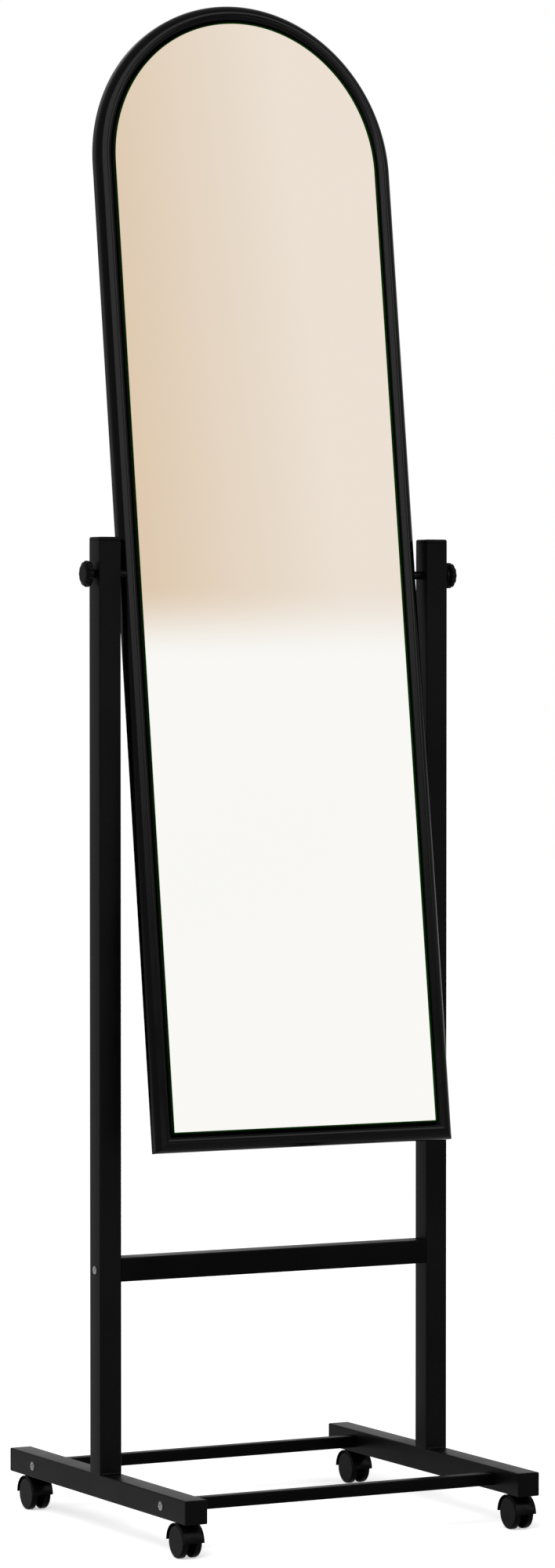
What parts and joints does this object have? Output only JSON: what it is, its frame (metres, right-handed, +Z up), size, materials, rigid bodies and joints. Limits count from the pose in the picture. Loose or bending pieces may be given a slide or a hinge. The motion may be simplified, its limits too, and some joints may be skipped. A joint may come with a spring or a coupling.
{
  "type": "rolling floor mirror",
  "caption": "Tall arched mirror in a slim half-round frame that tilts between two posts on a square-tube base with swivel casters.",
  "frame": {"origin": "on the floor, straight below the mirror's tilt axis, midway between the feet", "axes": "+Z up, -Y the side that the glass faces, +X to the right as seen from the front"},
  "size_m": [0.4428, 0.416, 1.6097],
  "materials": {
    "coat": "satin black powder coat on steel tube",
    "moulding": "black anodised, satin",
    "mirror": "polished, silvered behind",
    "board": "black-faced board",
    "plastic": "fine satin black",
    "zinc": "zinc plated, dull grey"
  },
  "bodies": {
    "stand": {"foot_left": "coat", "foot_right": "coat", "foot_cap_front_left": "plastic", "foot_cap_front_right": "plastic", "foot_cap_rear_left": "plastic", "foot_cap_rear_right": "plastic", "post_left": "coat", "post_right": "coat", "post_cap_left": "plastic", "post_cap_right": "plastic", "mid_bar": "coat", "mid_bar_plugs": "plastic", "mid_bar_screws": "zinc", "base_bar_front": "coat", "base_bar_rear": "coat", "base_bar_plugs": "plastic", "base_bar_screws": "zinc", "stem_sockets": "zinc", "stem_front_left": "zinc", "stem_front_right": "zinc", "stem_rear_left": "zinc", "stem_rear_right": "zinc"},
    "mirror": {"frame_hoop": "moulding", "frame_bottom": "moulding", "glass": "mirror", "core": "board", "back_panel": "board", "corner_brackets": "zinc", "corner_screws": "zinc", "panel_screws": "zinc", "pivot_insert_left": "coat", "pivot_insert_right": "coat"},
    "collar_left": {"collar_left": "plastic"},
    "knob_left": {"knob_left": "plastic", "stud_left": "zinc"},
    "collar_right": {"collar_right": "plastic"},
    "knob_right": {"knob_right": "plastic", "stud_right": "zinc"},
    "caster_front_left": {"hood_front_left": "plastic", "axle_front_left": "zinc"},
    "wheel_front_left_outer": {"wheel_front_left_outer": "plastic"},
    "wheel_front_left_inner": {"wheel_front_left_inner": "plastic"},
    "caster_front_right": {"hood_front_right": "plastic", "axle_front_right": "zinc"},
    "wheel_front_right_outer": {"wheel_front_right_outer": "plastic"},
    "wheel_front_right_inner": {"wheel_front_right_inner": "plastic"},
    "caster_rear_left": {"hood_rear_left": "plastic", "axle_rear_left": "zinc"},
    "wheel_rear_left_outer": {"wheel_rear_left_outer": "plastic"},
    "wheel_rear_left_inner": {"wheel_rear_left_inner": "plastic"},
    "caster_rear_right": {"hood_rear_right": "plastic", "axle_rear_right": "zinc"},
    "wheel_rear_right_outer": {"wheel_rear_right_outer": "plastic"},
    "wheel_rear_right_inner": {"wheel_rear_right_inner": "plastic"}
  },
  "joints": [
    {"name": "mirror_tilt", "type": "hinge", "parent": "stand", "child": "mirror", "pos_m": [0, 0, 1.0024], "axis": [1, 0, 0], "continuous": true},
    {"name": "knob_travel_left", "type": "slide", "parent": "stand", "child": "collar_left", "axis": [-1, 0, 0], "range_m": [0, 0.003]},
    {"name": "knob_turn_left", "type": "hinge", "parent": "collar_left", "child": "knob_left", "pos_m": [-0.208, 0, 1.0024], "axis": [-1, 0, 0], "range_deg": [0, 1080]},
    {"name": "knob_travel_right", "type": "slide", "parent": "stand", "child": "collar_right", "axis": [1, 0, 0], "range_m": [0, 0.003]},
    {"name": "knob_turn_right", "type": "hinge", "parent": "collar_right", "child": "knob_right", "pos_m": [0.208, 0, 1.0024], "axis": [1, 0, 0], "range_deg": [0, 1080]},
    {"name": "swivel_front_left", "type": "hinge", "parent": "stand", "child": "caster_front_left", "pos_m": [-0.1955, -0.1776, 0.037], "axis": [0, 0, 1], "continuous": true},
    {"name": "roll_front_left_outer", "type": "hinge", "parent": "caster_front_left", "child": "wheel_front_left_outer", "pos_m": [-0.1955, -0.1831, 0.01725], "axis": [1, 0, 0], "continuous": true},
    {"name": "roll_front_left_inner", "type": "hinge", "parent": "caster_front_left", "child": "wheel_front_left_inner", "pos_m": [-0.1955, -0.1831, 0.01725], "axis": [1, 0, 0], "continuous": true},
    {"name": "swivel_front_right", "type": "hinge", "parent": "stand", "child": "caster_front_right", "pos_m": [0.1955, -0.1776, 0.037], "axis": [0, 0, 1], "continuous": true},
    {"name": "roll_front_right_outer", "type": "hinge", "parent": "caster_front_right", "child": "wheel_front_right_outer", "pos_m": [0.1955, -0.1831, 0.01725], "axis": [1, 0, 0], "continuous": true},
    {"name": "roll_front_right_inner", "type": "hinge", "parent": "caster_front_right", "child": "wheel_front_right_inner", "pos_m": [0.1955, -0.1831, 0.01725], "axis": [1, 0, 0], "continuous": true},
    {"name": "swivel_rear_left", "type": "hinge", "parent": "stand", "child": "caster_rear_left", "pos_m": [-0.1955, 0.1776, 0.037], "axis": [0, 0, 1], "continuous": true},
    {"name": "roll_rear_left_outer", "type": "hinge", "parent": "caster_rear_left", "child": "wheel_rear_left_outer", "pos_m": [-0.1955, 0.1721, 0.01725], "axis": [1, 0, 0], "continuous": true},
    {"name": "roll_rear_left_inner", "type": "hinge", "parent": "caster_rear_left", "child": "wheel_rear_left_inner", "pos_m": [-0.1955, 0.1721, 0.01725], "axis": [1, 0, 0], "continuous": true},
    {"name": "swivel_rear_right", "type": "hinge", "parent": "stand", "child": "caster_rear_right", "pos_m": [0.1955, 0.1776, 0.037], "axis": [0, 0, 1], "continuous": true},
    {"name": "roll_rear_right_outer", "type": "hinge", "parent": "caster_rear_right", "child": "wheel_rear_right_outer", "pos_m": [0.1955, 0.1721, 0.01725], "axis": [1, 0, 0], "continuous": true},
    {"name": "roll_rear_right_inner", "type": "hinge", "parent": "caster_rear_right", "child": "wheel_rear_right_inner", "pos_m": [0.1955, 0.1721, 0.01725], "axis": [1, 0, 0], "continuous": true}
  ],
  "couplings": [
    {"joint": "knob_turn_left", "follows": "knob_travel_left", "rad_per_m": 6283.2},
    {"joint": "knob_turn_right", "follows": "knob_travel_right", "rad_per_m": 6283.2}
  ]
}
